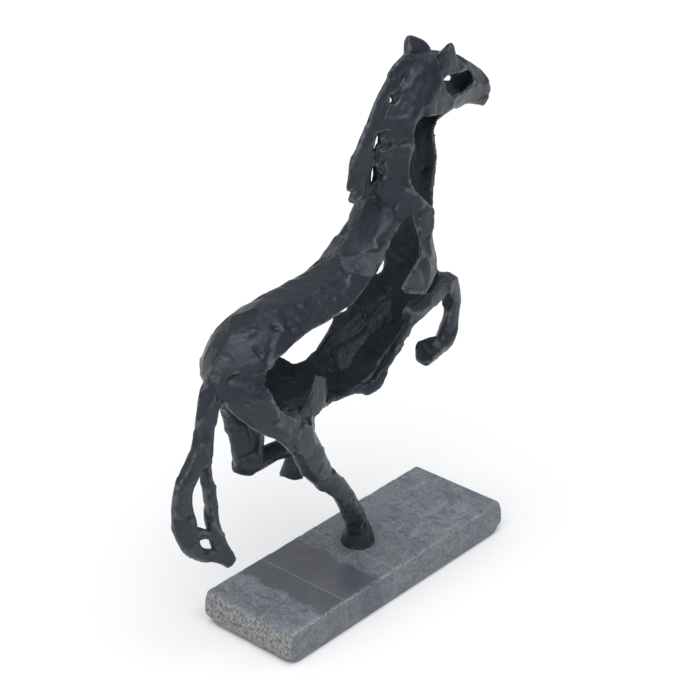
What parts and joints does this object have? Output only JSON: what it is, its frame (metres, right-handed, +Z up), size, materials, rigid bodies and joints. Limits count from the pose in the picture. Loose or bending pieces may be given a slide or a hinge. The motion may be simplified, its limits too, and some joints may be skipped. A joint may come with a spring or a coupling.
{
  "type": "horse statue",
  "caption": "Openwork bronze horse rearing forward on one hind leg, its hollow body cast as straps and shells, bolted to a rectangular marble base with a felt underside.",
  "frame": {"origin": "centre of the underside of the base (the felt pad's lower face)", "axes": "+X the way the horse faces, +Y the horse's left, +Z up"},
  "size_m": [0.3021, 0.0802, 0.3756],
  "materials": {
    "bronze": "cast bronze with a dark blue-black patina, hand-modelled facets, satin sheen",
    "marble": "polished mid-grey marble with bands and speckle, one rough short end",
    "steel": "plain zinc-plated hardware",
    "felt": "dark green felt"
  },
  "bodies": {
    "root": {"felt_pad": "felt", "marble_base": "marble", "threaded_stud": "steel", "washer": "steel", "hex_nut": "steel", "back_shell": "bronze", "neck_shell": "bronze", "breast_shell": "bronze", "shoulder_yoke": "bronze", "belly_shell": "bronze", "belly_strap": "bronze", "shoulder_plate": "bronze", "mane_upper": "bronze", "mane_middle": "bronze", "mane_lock": "bronze", "mane_tip": "bronze", "head_shell": "bronze", "right_ear": "bronze", "left_ear": "bronze", "right_haunch": "bronze", "left_haunch": "bronze", "right_hind_hoof": "bronze", "right_hind_leg": "bronze", "left_hind_leg": "bronze", "left_hind_hoof": "bronze", "right_foreleg": "bronze", "right_fore_hoof": "bronze", "left_foreleg": "bronze", "left_fore_hoof": "bronze", "tail_root": "bronze", "tail_outer_strand": "bronze", "tail_inner_strand": "bronze", "tail_link": "bronze"}
  },
  "joints": []
}
